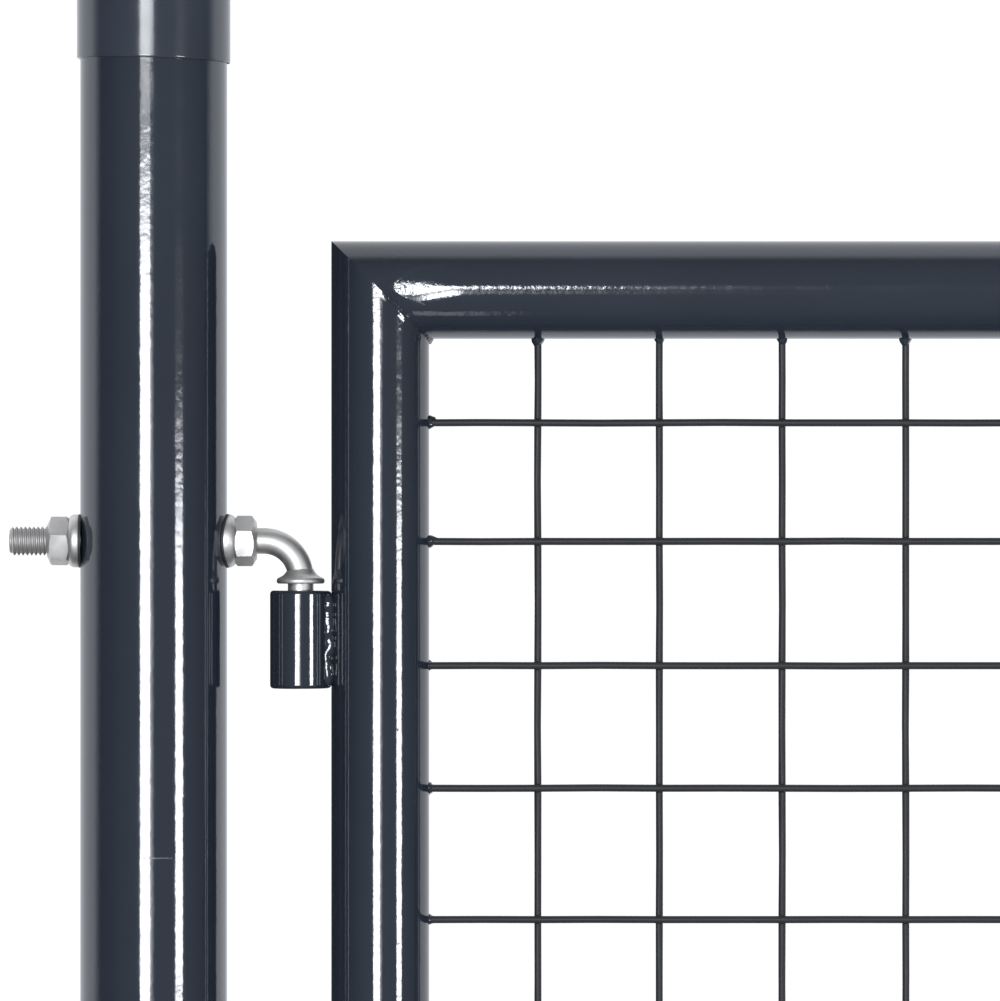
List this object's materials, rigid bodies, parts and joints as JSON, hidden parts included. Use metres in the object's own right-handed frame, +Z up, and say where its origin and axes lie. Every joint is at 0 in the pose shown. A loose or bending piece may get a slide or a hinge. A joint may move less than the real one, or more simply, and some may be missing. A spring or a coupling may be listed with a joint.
{
  "type": "mesh garden gate",
  "caption": "Single-leaf garden gate of round steel tube with a welded wire mesh, hung on adjustable hinge bolts between two round posts, with a lever lock.",
  "frame": {"origin": "centre of the hinge post's foot, at ground level", "axes": "+X from the hinge post to the latch post, +Y the side the leaf opens to, +Z up"},
  "size_m": [1.0301, 0.146, 1.412],
  "materials": {
    "powder_coat": "gloss",
    "mesh_coat": "satin",
    "zinc": "satin",
    "cap_plastic": "satin",
    "rubber": "matte",
    "handle_plastic": "satin",
    "nickel_brass": "satin"
  },
  "bodies": {
    "posts": {"hinge_post": "powder_coat", "latch_post": "powder_coat", "hinge_post_cap": "cap_plastic", "latch_post_cap": "cap_plastic", "upper_hinge_bolt": "zinc", "upper_outer_nut": "zinc", "upper_inner_nut": "zinc", "upper_outer_washer": "zinc", "upper_inner_washer": "zinc", "upper_outer_gasket": "rubber", "upper_inner_gasket": "rubber", "lower_hinge_bolt": "zinc", "lower_outer_nut": "zinc", "lower_inner_nut": "zinc", "lower_outer_washer": "zinc", "lower_inner_washer": "zinc", "lower_outer_gasket": "rubber", "lower_inner_gasket": "rubber", "strike_plate": "powder_coat", "stop_pad": "rubber"},
    "leaf": {"hinge_stile": "powder_coat", "latch_stile": "powder_coat", "top_rail": "powder_coat", "bottom_rail": "powder_coat", "mesh_panel": "mesh_coat", "upper_hinge_barrel": "powder_coat", "lower_hinge_barrel": "powder_coat", "upper_barrel_weld": "powder_coat", "lower_barrel_weld": "powder_coat", "lock_case": "powder_coat", "front_handle_plate": "handle_plastic", "back_handle_plate": "handle_plastic", "front_lever": "handle_plastic", "back_lever": "handle_plastic", "lock_cylinder": "nickel_brass", "latch_bolt": "zinc", "dead_bolt": "zinc"}
  },
  "joints": [
    {"name": "leaf_swing", "type": "hinge", "parent": "posts", "child": "leaf", "pos_m": [0.06, 0, 0], "axis": [0, 0, 1], "range_deg": [0, 95]}
  ]
}
